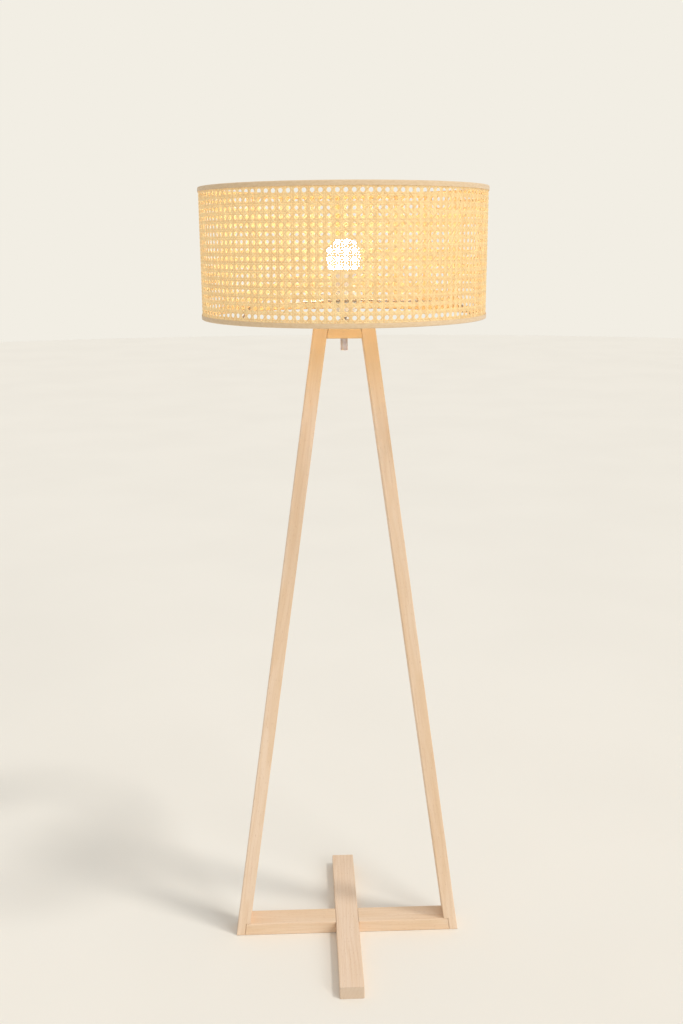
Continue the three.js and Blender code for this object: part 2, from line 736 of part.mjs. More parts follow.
function addBulbNeck() {
  const spigot = bulbCapDiameter / 2 - bulbCapWall - seatGap;
  const spigotBottom = bulbCapTop - bulbCapHeight + seatGap;
  const neckBottom = bulbCapTop + seatGap;
  const foot = neckDiameter / 2;
  const top = neckTopDiameter / 2;
  const flare = (inset) => neckFlareShares.map(([up, out]) => [
    foot + out * (top - foot) - inset, neckBottom + up * (neckTop - neckBottom)]);
  const ledgeHeight = neckTop - ledBoardThickness - seatGap - neckLedge;
  const boardBore = top - bulbWall;
  piece(bulb, 'bulb_neck_housing', turned([
    [spigot - bulbWall, spigotBottom], [spigot, spigotBottom], [spigot, neckBottom], [foot, neckBottom],
    ...flare(0), [top, neckTop], [boardBore, neckTop], [boardBore, ledgeHeight + neckLedge],
    [boardBore - neckLedge, ledgeHeight + neckLedge], ...flare(neckLedge).reverse(),
    [spigot - bulbWall, neckBottom],
  ]), 'bulbPlastic');
  piece(bulb, 'bulb_led_board',
    rod(boardBore - runningGap, ledBoardThickness, roundSides), 'circuitBoard', neckTop - ledBoardThickness);
}

// Opal dome: a half sphere above the widest point, drawn in below it as part of an ellipse
function domeProfile(radius, footRadius, footHeight, centre) {
  const squeeze = Math.sqrt(1 - (footRadius / radius) ** 2);
  const depth = (centre - footHeight) / squeeze;
  const points = [];
  for (let i = 0; i <= domeSteps / 2; i += 1) {
    const height = footHeight + (i / (domeSteps / 2)) * (centre - footHeight);
    points.push([radius * Math.sqrt(1 - ((centre - height) / depth) ** 2), height]);
  }
  for (let i = 1; i <= domeSteps; i += 1) {
    const angle = (i / domeSteps) * Math.PI / 2;
    points.push([i === domeSteps ? 0 : radius * Math.cos(angle), centre + radius * Math.sin(angle)]);
  }
  return points;
}

function addBulbDome() {
  const centre = bulbLength - bulbDiameter / 2;
  const foot = neckTop + seatGap;
  const outer = domeProfile(bulbDiameter / 2, neckTopDiameter / 2, foot, centre);
  const inner = domeProfile(
    bulbDiameter / 2 - bulbWall, neckTopDiameter / 2 - bulbWall, foot, centre).reverse();
  piece(bulb, 'bulb_dome', turned([...inner, ...outer]), 'opal');
}

addLegs();
addCrossbar();
addBase();
addDowels();
addLapScrew();
addTube();
addCordGrip();
addHolderCap();
addHolderBody();
addHolderInsert();
addCentreContact();
addRingNut();
addHub();
addArms();
addHoops();
addCane();
addTapes();
addSeamTape();
addBulbCap();
addBulbNeck();
addBulbDome();

export default lamp;
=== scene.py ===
"""Floor lamp: a drum shade of open cane webbing on a timber stand.

Lengths are in millimetres until a mesh is made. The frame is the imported
part's: +Z up, the floor at zero, the lamp's axis on Z, the front to -Y.
"""

import math

import bmesh
import bpy
import numpy as np
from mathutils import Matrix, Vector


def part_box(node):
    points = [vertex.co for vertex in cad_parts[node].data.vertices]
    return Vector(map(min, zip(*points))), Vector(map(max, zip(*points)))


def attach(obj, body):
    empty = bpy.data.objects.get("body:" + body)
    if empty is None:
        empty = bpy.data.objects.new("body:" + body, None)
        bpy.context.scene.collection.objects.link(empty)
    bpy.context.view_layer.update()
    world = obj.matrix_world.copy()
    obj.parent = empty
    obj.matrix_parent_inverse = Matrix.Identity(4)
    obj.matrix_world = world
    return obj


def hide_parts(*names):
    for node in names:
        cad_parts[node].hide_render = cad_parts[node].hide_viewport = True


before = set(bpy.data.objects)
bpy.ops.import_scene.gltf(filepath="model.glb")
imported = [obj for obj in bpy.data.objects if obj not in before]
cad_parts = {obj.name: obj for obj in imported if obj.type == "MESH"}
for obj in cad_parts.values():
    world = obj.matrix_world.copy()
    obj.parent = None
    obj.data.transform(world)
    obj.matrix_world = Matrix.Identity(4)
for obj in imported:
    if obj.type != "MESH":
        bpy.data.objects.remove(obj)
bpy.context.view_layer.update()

TURN = 2 * math.pi


# ---- camera: fitted to the outlines of the shade and the base ----

PHOTO_FOCUS = 1067.74  # focal length in pixels of a frame 1024 pixels high
PHOTO_HEIGHT = 1024
SENSOR = 36.0
CAMERA_PLACE = (-79.5, -1919.0, 1369.9)
CAMERA_HEADING = math.radians(2.182)  # to the right of +Y
CAMERA_DIP = math.radians(14.339)
CAMERA_ROLL = math.radians(-0.337)


def place_camera():
    """Axes of the view: ahead from heading and dip, then right and up turned
    by the roll about it."""
    sine, cosine = math.sin(CAMERA_HEADING), math.cos(CAMERA_HEADING)
    flat = math.cos(CAMERA_DIP)
    ahead = np.array([sine * flat, cosine * flat, -math.sin(CAMERA_DIP)])
    level = np.array([cosine, -sine, 0.0])
    upright = np.cross(level, ahead)
    right = math.cos(CAMERA_ROLL) * level + math.sin(CAMERA_ROLL) * upright
    up = math.cos(CAMERA_ROLL) * upright - math.sin(CAMERA_ROLL) * level
    data = bpy.data.cameras.new("photo_view")
    data.sensor_fit = "AUTO"
    data.sensor_width = SENSOR
    data.lens = PHOTO_FOCUS / PHOTO_HEIGHT * SENSOR
    data.clip_start, data.clip_end = 0.05, 60
    camera = bpy.data.objects.new("photo_view", data)
    bpy.context.scene.collection.objects.link(camera)
    pose = np.eye(4)
    pose[:3, 0], pose[:3, 1], pose[:3, 2] = right, up, -ahead
    pose[:3, 3] = np.array(CAMERA_PLACE) / 1000
    camera.matrix_world = pose.T.tolist()
    bpy.context.scene.camera = camera


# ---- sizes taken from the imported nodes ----


def span(node):
    """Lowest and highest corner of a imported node, in millimetres."""
    low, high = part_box(node)
    return np.array(low) * 1000, np.array(high) * 1000


def radius_of(node):
    """A round node's radius: its reach along +X."""
    return span(node)[1][0]


def heights(node):
    low, high = span(node)
    return low[2], high[2]


RIM_LOW = heights("bottom_trim")[0]
RIM_HIGH = heights("top_trim")[1]
DRUM_RADIUS = radius_of("bottom_trim")
SKIN_OUTER = radius_of("cane_skin")
SKIN_WALL = 2.0
SKIN_MIDDLE = SKIN_OUTER - SKIN_WALL / 2
SKIN_LOW, SKIN_HIGH = heights("cane_skin")
TAPE_WALL = 0.8
TAPE_OUTER_LAP = 8.0
TAPE_INNER_LAP = 9.0
LAYER_GAP = 0.3
HOOP_WIRE = 3.8
HOOP_RADIUS = SKIN_OUTER - SKIN_WALL - LAYER_GAP - HOOP_WIRE / 2
HOOP_RISE = TAPE_WALL + LAYER_GAP + HOOP_WIRE / 2
ARM_WIRE = 3.2
ARM_AZIMUTHS = {"right": -20, "back": 100, "left": 220}
SEAM_AZIMUTH = 90
SEAM_WIDTH = 14.0
HUB_BORE = 20.0  # radius of the hole in the hub ring and in the ring nut


# ---- mesh making ----

LONGEST_EASE = 0.45  # of a corner, as a share of the edge that it shortens


def points(*parts):
    """Coordinates from their parts, each of which is repeated as needed."""
    return np.stack(np.broadcast_arrays(*parts), -1)


def round_axis(radius, angle, height):
    return points(radius * np.cos(angle), radius * np.sin(angle), height)


def dress(data, sharp):
    data.validate()
    data.shade_smooth()
    data.set_sharp_from_angle(angle=math.radians(sharp))
    data.update()


def grid_mesh(name, grid, wrap_long, wrap_round, ends=False, sharp=35, marks=None):
    """A mesh over grids of points, shaped (count, along, round, 3).

    Each cell of four neighbours is one face. wrap_long and wrap_round close
    a grid on itself, and ends caps each open tube with its last ring. marks
    are vectors kept for the material, one for each point."""
    count, along, around, _ = grid.shape
    number = np.arange(count * along * around).reshape(count, along, around)
    next_long = np.roll(number, -1, axis=1)
    next_round = np.roll(number, -1, axis=2)
    both = np.roll(next_long, -1, axis=2)
    quads = np.stack([number, next_round, both, next_long], axis=-1)
    quads = quads[:, : along if wrap_long else along - 1]
    quads = quads[:, :, : around if wrap_round else around - 1].reshape(-1, 4)
    corners, sizes = [quads.ravel()], [np.full(len(quads), 4)]
    if ends:
        for ring in (number[:, 0, ::-1], number[:, -1]):
            corners.append(ring.ravel())
            sizes.append(np.full(count, around))
    corners, sizes = np.concatenate(corners), np.concatenate(sizes)
    data = bpy.data.meshes.new(name)
    data.vertices.add(grid.size // 3)
    data.vertices.foreach_set("co", (grid / 1000).astype(np.float32).ravel())
    data.loops.add(len(corners))
    data.loops.foreach_set("vertex_index", corners.astype(np.int32))
    data.polygons.add(len(sizes))
    starts = np.concatenate([[0], np.cumsum(sizes)[:-1]])
    data.polygons.foreach_set("loop_start", starts.astype(np.int32))
    data.update(calc_edges=True)
    if marks is not None:
        kept = data.attributes.new("along_across", "FLOAT_VECTOR", "POINT")
        kept.data.foreach_set("vector", marks.astype(np.float32).ravel())
    dress(data, sharp)
    made = bpy.data.objects.new(name, data)
    bpy.context.scene.collection.objects.link(made)
    return made


def finish_piece(made, body, finish, slot, *nodes):
    made.data.materials.append(finish)
    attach(made, body)
    if nodes:
        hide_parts(*nodes)
    return made


def rounded(corners, radius, steps=4):
    """A closed outline whose corners are each replaced by a short curve from
    one edge to the next, quadratic in its parameter."""
    corners = np.array(corners, float)
    arms = []
    for step in (1, -1):
        reach = np.roll(corners, step, axis=0) - corners
        length = np.linalg.norm(reach, axis=1, keepdims=True)
        arms.append(corners + reach * np.minimum(radius / length, LONGEST_EASE))
    t = np.linspace(0, 1, steps + 1)[None, :, None]
    start, end = arms[0][:, None], arms[1][:, None]
    bend = (1 - t) ** 2 * start + 2 * t * (1 - t) * corners[:, None] + t**2 * end
    return bend.reshape(-1, 2)


def ring_corners(bore, outer, low, high):
    return [[bore, low], [outer, low], [outer, high], [bore, high]]


def turned(name, outline, sides=96, ripple=None, sharp=35):
    """A closed outline of radius and height carried round the axis. ripple
    gives the outward shift of each point from its angle, radius and height."""
    radius, height = np.array(outline, float).T
    angle = np.arange(sides)[:, None] / sides * TURN
    if ripple is not None:
        radius = radius + ripple(angle, radius, height)
    grid = round_axis(radius, angle, height)
    return grid_mesh(name, grid[None, :, ::-1], True, True, sharp=sharp)


def domed(name, profile, sides=96, sharp=35):
    """A profile of radius and height, both ends on the axis, carried round
    it. The rings nearest the axis are drawn in to a point and merged."""
    radius, height = np.array(profile, float).T
    angle = np.arange(sides)[:, None] / sides * TURN
    grid = round_axis(radius, angle, height)
    made = grid_mesh(name, grid[None, :, ::-1], True, False, sharp=sharp)
    shape = bmesh.new()
    shape.from_mesh(made.data)
    bmesh.ops.remove_doubles(shape, verts=shape.verts, dist=1e-7)
    shape.to_mesh(made.data)
    shape.free()
    dress(made.data, sharp)
    return made


def wire(name, paths, radii, sides=12, closed=False):
    """Round wire along paths shaped (count, steps, 3). Its section lies in
    the plane of a level vector square to the path and a second square to
    both; radii is one radius, or one for each step."""
    along = np.gradient(paths, axis=1)
    if closed:
        along = np.roll(paths, -1, axis=1) - np.roll(paths, 1, axis=1)
    along /= np.linalg.norm(along, axis=-1, keepdims=True)
    level = points(-along[..., 1], along[..., 0], 0.0)
    level /= np.linalg.norm(level, axis=-1, keepdims=True)
    upright = np.cross(along, level)
    angle = np.arange(sides) / sides * TURN
    radii = np.broadcast_to(radii, paths.shape[:2])[..., None, None]
    grid = paths[:, :, None] + radii * (
        np.cos(angle)[:, None] * level[:, :, None]
        + np.sin(angle)[:, None] * upright[:, :, None]
    )
    return grid_mesh(name, grid, closed, True, ends=not closed, sharp=50)


# ---- materials ----

BULB_GLOW = 106.0  # white paper in this light is near 1
CANE_GLOW = 0.42
CANE_THROUGH = 0.34  # share of the light that passes through a strand
JOINTS_APART = 230.0  # along a vine of rattan
FIBRE_LONG, FIBRE_WIDE, FIBRE_SHIFT = 30, 0.35, 7.0
THREADS_APART = 1.3  # 0.5 mm on the real tape, drawn coarser so as to show
# between these heights the bulb's warm light is painted onto the wood
BULB_LIGHT_PAINTED_FROM, BULB_LIGHT_PAINTED_TO = 1.03, 1.2  # heights in metres
GLOSS_SPREAD = 0.12  # how much the roughness varies over a surface
QUARTER = math.pi / 2


def linear(code):
    """sRGB hex to linear red, green, blue and a full alpha."""
    parts = [int(code[i : i + 2], 16) / 255 for i in (1, 3, 5)]
    curve = [c / 12.92 if c <= 0.04045 else ((c + 0.055) / 1.055) ** 2.4 for c in parts]
    return (*curve, 1.0)


def add(tree, kind, inputs=None, **settings):
    """Adds a node with its settings; each input is a value or a socket."""
    made = tree.nodes.new("ShaderNode" + kind)
    for name, value in settings.items():
        setattr(made, name, value)
    for key, value in (inputs or {}).items():
        if isinstance(value, bpy.types.NodeSocket):
            tree.links.new(value, made.inputs[key])
        else:
            made.inputs[key].default_value = value
    return made


def base_material(name, colour, roughness, **more):
    """A Principled material with its plain values set on the shader."""
    made = bpy.data.materials.new(name)
    made.use_nodes = True
    tree = made.node_tree
    shader = tree.nodes["Principled BSDF"]
    shader.inputs["Base Color"].default_value = linear(colour)
    shader.inputs["Roughness"].default_value = roughness
    for key, value in more.items():
        shader.inputs[key.replace("_", " ")].default_value = value
    return made, tree, shader


def maths(tree, operation, *values):
    """One step of arithmetic on values or sockets."""
    return add(tree, "Math", dict(enumerate(values)), operation=operation).outputs[0]


def mapped(tree, source, scale):
    return add(tree, "Mapping", {"Vector": source, "Scale": scale}).outputs[0]


def stretched(tree, source, sizes):
    """Coordinates in which one unit is the given size in millimetres."""
    return mapped(tree, source, [1000 / size for size in sizes])


def noise(tree, place, detail=2.0):
    """Soft noise whose waves are about one unit of its coordinates long."""
    made = add(tree, "TexNoise", {"Vector": place, "Scale": 1.0, "Detail": detail})
    return made.outputs["Fac"]


def out_from_axis(tree, place):
    """The level part of a place, which is its way out from the drum's axis."""
    return add(
        tree, "VectorMath", {0: place, 1: (1.0, 1.0, 0.0)}, operation="MULTIPLY"
    ).outputs[0]


def blend_colour(tree, share, low, high):
    """A colour between two, by a share from 0 to 1."""
    mixed = add(
        tree, "Mix", {0: share, 6: low, 7: high}, data_type="RGBA", blend_type="MIX"
    )
    return mixed.outputs[2]


def share_of(tree, value, low, high, top=1.0):
    """Where a value lies between low and high, from 0 to top."""
    ranged = add(
        tree,
        "MapRange",
        {"Value": value, "From Min": low, "From Max": high, "To Max": top},
        interpolation_type="SMOOTHSTEP",
    )
    return ranged.outputs[0]


def tinted(tree, colour, code, value, low, high, top=1.0):
    """A colour drawn towards another as a value goes from low to high."""
    share = share_of(tree, value, low, high, top)
    return blend_colour(tree, share, colour, linear(code))


def relief(tree, shader, height, distance, strength=1.0):
    """Bump from a height field; distance is in millimetres."""
    bump = add(
        tree,
        "Bump",
        {"Height": height, "Distance": distance / 1000, "Strength": strength},
    )
    tree.links.new(bump.outputs[0], shader.inputs["Normal"])


def oiled_beech(name, turn, shift, honey):
    """Beech, planed, sanded and oiled: pale pinkish tan with soft growth
    bands along the board, faint streaks and short dark flecks, and painted
    warm light of the bulb near the top of the stand. turn lays the grain
    along X, shift is the board's place in the tree in millimetres, and honey
    is how far it leans to a warmer tone: board tone, and on the crossbar
    partly painted warm light."""
    made, tree, shader = base_material(
        name, "#E8CDB0", 0.56, Specular_IOR_Level=0.35
    )
    # sizes along, across and through the board, in millimetres
    figure = (260, 30, 30)
    band = (900, 7, 16)
    streak = (110, 1.6, 1.6)
    fleck = (9, 1.0, 1.0)  # 2 by 0.3 mm in real beech, drawn coarser to show
    band_drift = 5.0  # bands that the figure moves a band by

    coordinates = add(tree, "TexCoord")
    place = coordinates.outputs["Object"]
    board = add(
        tree,
        "Mapping",
        {"Vector": place, "Rotation": turn, "Location": [s / 1000 for s in shift]},
    ).outputs[0]
    facing = add(
        tree, "Mapping", {"Vector": coordinates.outputs["Normal"], "Rotation": turn}
    ).outputs[0]
    end_face = maths(tree, "ABSOLUTE", add(tree, "SeparateXYZ", {0: facing}).outputs[0])
    wander = noise(tree, stretched(tree, board, figure))
    spread = add(tree, "SeparateXYZ", {0: stretched(tree, board, band)})
    across = maths(tree, "ADD", spread.outputs[1], spread.outputs[2])
    phase = maths(tree, "ADD", across, maths(tree, "MULTIPLY", wander, band_drift))
    bands = maths(tree, "SINE", maths(tree, "MULTIPLY", phase, TURN))
    streaks = noise(tree, stretched(tree, board, streak), 3.0)
    flecks = noise(tree, stretched(tree, board, fleck), 0.0)
    colour = tinted(tree, linear("#ECD3BA"), "#E6C8A9", wander, 0.3, 0.7)
    colour = tinted(tree, colour, "#D8B58C", bands, 0.0, 1.0, 0.22)
    colour = tinted(tree, colour, "#D2AA86", streaks, 0.48, 0.78, 0.38)
    colour = tinted(tree, colour, "#B98D68", flecks, 0.68, 0.8, 0.35)
    # painted warm light: wood within a hand or two of the bulb is drawn more orange, in
    # place of the bulb's light falling on it
    height = add(tree, "SeparateXYZ", {0: place}).outputs[2]
    painted_bulb_light = share_of(tree, height, BULB_LIGHT_PAINTED_FROM, BULB_LIGHT_PAINTED_TO, 0.45)
    warmth_and_painted_light = maths(tree, "ADD", painted_bulb_light, honey)
    colour = blend_colour(tree, warmth_and_painted_light, colour, linear("#F0C477"))
    # end grain soaks up oil: greyer and darker, rings still to be seen
    colour = tinted(tree, colour, "#C6B29C", end_face, 0.7, 0.9, 0.55)
    tree.links.new(colour, shader.inputs["Base Color"])
    gloss = share_of(tree, streaks, 0.3, 0.8, GLOSS_SPREAD)
    rough = maths(tree, "ADD", gloss, 0.5)
    tree.links.new(rough, shader.inputs["Roughness"])
    relief(tree, shader, streaks, 0.12, 0.6)
    return made


def peeled_rattan():
    """Cane peeled from the bark of rattan: honey coloured, with a satin
    face, fine fibres along each strand, strands that differ in tone, and a
    dark joint every hand's width. The lamp inside glows through it."""
    made, tree, shader = base_material(
        "peeled_rattan_cane", "#E2C792", 0.42, Specular_IOR_Level=0.45
    )
    kept = add(tree, "Attribute", attribute_name="along_across").outputs["Vector"]
    parts = add(tree, "SeparateXYZ", {0: kept})
    along, seed = parts.outputs[0], parts.outputs[2]
    tone = add(
        tree,
        "TexWhiteNoise",
        {"W": maths(tree, "FLOOR", seed)},
        noise_dimensions="1D",
    ).outputs["Value"]
    fibre_scale = (1 / FIBRE_LONG, 1 / FIBRE_WIDE, FIBRE_SHIFT)
    fibres = noise(tree, mapped(tree, kept, fibre_scale))
    # joints of the vine, 5 mm long, which fade at both ends
    lap = maths(tree, "MODULO", along, JOINTS_APART)
    away = maths(tree, "SUBTRACT", lap, JOINTS_APART / 2)
    away = maths(tree, "ABSOLUTE", away)
    colour = blend_colour(tree, tone, linear("#E9D4A2"), linear("#DABA80"))
    colour = tinted(tree, colour, "#CFA56C", fibres, 0.48, 0.8, 0.45)
    colour = tinted(tree, colour, "#B08048", away, 2.5, 0.4, 0.36)
    tree.links.new(colour, shader.inputs["Base Color"])
    relief(tree, shader, fibres, 0.05, 0.5)
    # light that seeps through the crossed strands is added as a low glow on
    # the faces that look away from the drum's axis
    place = add(tree, "TexCoord")
    radial = add(
        tree,
        "VectorMath",
        {0: out_from_axis(tree, place.outputs["Object"])},
        operation="NORMALIZE",
    )
    outward = add(
        tree,
        "VectorMath",
        {0: place.outputs["Normal"], 1: radial.outputs[0]},
        operation="DOT_PRODUCT",
    ).outputs["Value"]
    seeping = blend_colour(tree, 0.5, colour, linear("#FFF2C4"))
    seeping = blend_colour(
        tree, share_of(tree, outward, -0.2, 0.5), linear("#000000"), seeping
    )
    tree.links.new(seeping, shader.inputs["Emission Color"])
    shader.inputs["Emission Strength"].default_value = CANE_GLOW
    glow = add(tree, "BsdfTranslucent", {"Color": colour})
    mixed = add(
        tree, "MixShader", {0: CANE_THROUGH, 1: shader.outputs[0], 2: glow.outputs[0]}
    )
    output = tree.nodes["Material Output"]
    tree.links.new(mixed.outputs[0], output.inputs["Surface"])
    return made


def cotton_tape():
    """Plain woven cotton tape, glued down: matt beige cloth with a fine
    over-and-under weave and a soft fuzz at grazing angles."""
    made, tree, shader = base_material(
        "woven_cotton_tape",
        "#E9CCA6",
        0.88,
        Sheen_Weight=0.35,
        Sheen_Roughness=0.45,
        Specular_IOR_Level=0.25,
    )
    kept = add(tree, "Attribute", attribute_name="along_across").outputs["Vector"]
    thread_scale = TURN / THREADS_APART
    parts = add(
        tree, "SeparateXYZ", {0: mapped(tree, kept, (thread_scale, thread_scale, 1.0))}
    )
    waves = [maths(tree, "SINE", parts.outputs[i]) for i in (0, 1)]
    weave = maths(tree, "MULTIPLY", *waves)
    blotch = noise(tree, mapped(tree, kept, (1 / 9, 1 / 3, 1.0)), 3.0)
    colour = tinted(tree, linear("#EDD2AE"), "#E4C69D", blotch, 0.3, 0.7)
    colour = tinted(tree, colour, "#CBAA7E", weave, 0.1, 1.0, 0.35)
    # painted shade: the lap inside the drum is drawn darker and browner than the
    # outside, so that it shows no brighter than the cane in the bulb's light
    level = out_from_axis(tree, add(tree, "TexCoord").outputs["Object"])
    reach = add(tree, "VectorMath", {0: level}, operation="LENGTH").outputs["Value"]
    colour = tinted(
        tree, colour, "#CDA870", reach, SKIN_MIDDLE / 1000, (SKIN_MIDDLE - 1) / 1000
    )
    tree.links.new(colour, shader.inputs["Base Color"])
    relief(tree, shader, weave, 0.15, 0.7)
    return made


def plain_finish(name, colour, tint, roughness, grain, depth, **more):
    """A finish whose tone and height vary a little over grains of a size in
    millimetres, as moulded, cast, plated and sprayed surfaces do."""
    made, tree, shader = base_material(name, colour, roughness, **more)
    place = add(tree, "TexCoord").outputs["Object"]
    fine = noise(tree, stretched(tree, place, (grain,) * 3))
    broad = noise(tree, stretched(tree, place, (grain * 9,) * 3))
    mixed = tinted(tree, linear(colour), tint, broad, 0.35, 0.65)
    tree.links.new(mixed, shader.inputs["Base Color"])
    spread = share_of(tree, broad, 0.3, 0.7, GLOSS_SPREAD)
    rough = maths(tree, "ADD", spread, roughness - GLOSS_SPREAD / 2)
    tree.links.new(rough, shader.inputs["Roughness"])
    relief(tree, shader, fine, depth, 0.5)
    return made


def opal_polycarbonate():
    """Opal polycarbonate with light-emitting diodes behind it: a milky,
    evenly bright warm white skin with a soft gloss."""
    made, tree, shader = base_material(
        "opal_polycarbonate", "#FFF6E4", 0.32, Specular_IOR_Level=0.5
    )
    place = add(tree, "TexCoord").outputs["Object"]
    cloud = noise(tree, stretched(tree, place, (40,) * 3))
    mixed = tinted(tree, linear("#FFF8E9"), "#FFF1D8", cloud, 0.3, 0.7)
    tree.links.new(mixed, shader.inputs["Base Color"])
    shader.inputs["Emission Color"].default_value = linear("#FFE2C0")
    shader.inputs["Emission Strength"].default_value = BULB_GLOW
    return made


FOOT_SPAN, HEAD_SPAN, STAND_HEIGHT = 451, 107, 1225  # over the legs' outer faces
LEG_CANT = math.atan((FOOT_SPAN - HEAD_SPAN) / 2 / STAND_HEIGHT)

# Solid timber: each member has its own board. The rows give the board's name,
# # the turn that lays the grain along X, its place in the tree and its warmth;
# # the crossbar's higher warmth is partly painted warm light of the bulb
LEVEL = (0, 0, 0)
BOARDS = {
    "left_leg": ("left_leg", (0, QUARTER - LEG_CANT, 0), (40, 13, 5), 0.04),
    "right_leg": ("right_leg", (0, QUARTER + LEG_CANT, 0), (910, 57, 31), 0.06),
    "top_crossbar": ("crossbar", LEVEL, (350, 5, 77), 0.15),
    "base_bar_left_right": ("cross_lower", LEVEL, (70, 92, 11), 0.08),
    "base_bar_front_back": ("cross_upper", (0, 0, -QUARTER), (640, 36, 23), 0.0),
}
TIMBER_FINISH = {
    node: oiled_beech(f"oiled_beech_{tag}", *board)
    for node, (tag, *board) in BOARDS.items()
}
CANE = peeled_rattan()
TAPE = cotton_tape()
# Zinc plated steel: bright, slightly blue, with a drawn satin
ZINC = plain_finish(
    "zinc_plated_steel", "#C3C5C6", "#AEB1B4", 0.34, 0.8, 0.02, Metallic=1.0
)
# Stamped brass: warm yellow metal, lightly dulled
BRASS = plain_finish(
    "stamped_brass", "#D2AE62", "#B99650", 0.33, 1.2, 0.02, Metallic=1.0
)
# Nickel plated brass: the bulb's cap, pale warm metal
NICKEL = plain_finish(
    "nickel_plated_brass", "#CBC6BC", "#B5B0A6", 0.3, 1.0, 0.02, Metallic=1.0
)
# Stoved enamel on wire: pale bronze, hard, with a slight orange peel
ENAMEL = plain_finish(
    "bronze_stoved_enamel", "#B29E82", "#A59176", 0.42, 1.6, 0.04, Coat_Weight=0.2
)
# Moulded thermoplastic of the holder: warm white, fine spark-eroded face
MOULDING = plain_finish("moulded_polyester", "#F1EEE5", "#E7E2D5", 0.42, 0.7, 0.03)
# Moulded nylon of the cord grip: greyish white, slightly waxy
NYLON = plain_finish(
    "moulded_nylon", "#E6DCDF", "#DACFD2", 0.45, 0.9, 0.03, Subsurface_Weight=0.15
)
# Pressed steatite: matt off-white ceramic with a fine grain
STEATITE = plain_finish("pressed_steatite", "#E6E0D2", "#D8D0BF", 0.7, 0.5, 0.05)
# Injection moulded neck of the bulb: white, smooth
NECK = plain_finish("moulded_polycarbonate", "#F4F2EC", "#ECE8DF", 0.38, 1.2, 0.02)
# Poured black glass of the bulb's insulator
VITRITE = plain_finish("poured_black_glass", "#1D1B22", "#2A2731", 0.16, 2.0, 0.03)
# Solder mask on the bulb's board
BOARD = plain_finish("white_solder_mask", "#F2F2EC", "#E6E7DF", 0.5, 0.8, 0.03)
# Turned beech dowel: end grain and fibres, unfinished
DOWEL = plain_finish("turned_beech_dowel", "#D9B98F", "#C9A67A", 0.75, 0.9, 0.06)
OPAL = opal_polycarbonate()


def refinish(finish, *nodes):
    """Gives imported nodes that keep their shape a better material."""
    for node in nodes:
        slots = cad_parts[node].data.materials
        if len(slots) == 0:
            slots.append(finish)
        for i in range(len(slots)):
            slots[i] = finish


# ---- the webbing ----

CANE_COLUMNS = 122  # holes round the drum
CANE_PITCH = TURN * SKIN_MIDDLE / CANE_COLUMNS
CANE_ROWS = 16  # holes between the two tapes
CANE_RISE = 12.7
CANE_FOOT = RIM_LOW + 9.95  # middle of the lowest pair
CANE_START = CANE_PITCH / 2  # puts a pair of uprights at the very front
PAIR_HALF = 1.55  # from the middle of a pair to the middle of its strand
STRAND_WIDE = 2.75
STRAND_THICK = 0.5
DIAGONAL_WIDE = 2.2
FACE_SHARE = 0.36  # half the outer face of a strand, as a share of its width
END_ROOM = 0.4  # from a strand's end to the skin's
NODE_LIFT = 0.3  # over and under where two pairs cross
DIAGONAL_LIFT = 0.66  # over one pair, under the other
NODE_STEPS = np.array([0.0, 0.122, 0.25, 0.5, 0.75, 0.878])  # shares of a pitch
DIAGONAL_STEPS = 8  # in one pitch
COLUMN_STRAY, ROW_STRAY = 0.12, 0.1  # how far pairs wander from even places
WIDTH_SPREAD = (0.93, 1.05)
TONES_APART = 1000  # from the first tone of one set of strands to the next

chance = np.random.default_rng(41)


def node_wave(share):
    """Side to side across a crossing of pairs: up at one strand, down at the
    next, level half way to the next crossing."""
    near = share - np.round(share)
    return np.where(np.abs(near) < 0.25, np.sin(near * 2 * TURN), 0.0)


def strands(name, round_mm, height, lift, lean, wide, first, closed=False):
    """Flat strands on the drum. Each is a line of places, given as distance
    round the drum and height, with the outward lift of its middle. Its
    section is a low trapezium, broad on the inside, whose face is turned by
    the line's lean from level. Shapes are (count, steps). The strands' tones
    are drawn from numbers that start at first."""
    count = len(round_mm)
    widths = wide * chance.uniform(*WIDTH_SPREAD, (count, 1, 1))
    across = np.array([-0.5, 0.5, FACE_SHARE, -FACE_SHARE]) * widths
    out = np.array([-0.5, -0.5, 0.5, 0.5]) * STRAND_THICK
    flow_round, flow_up = math.cos(lean), math.sin(lean)
    place = round_mm[..., None] - flow_up * across
    level = height[..., None] + flow_round * across
    if not closed:
        level = np.clip(level, SKIN_LOW + END_ROOM / 2, SKIN_HIGH - END_ROOM / 2)
    radius = SKIN_MIDDLE + lift[..., None] + out
    angle = (place + CANE_START) / SKIN_MIDDLE
    grid = round_axis(radius, angle, level)
    travel = np.hypot(
        round_mm - round_mm[:, :1], height - height[:, :1]
    ) + chance.uniform(0, JOINTS_APART, (count, 1))
    seeds = first + np.arange(count)[:, None, None] + 0.5
    marks = points(travel[..., None], across, seeds)
    return grid_mesh(
        name, grid, closed, True, ends=not closed, sharp=60, marks=marks
    )


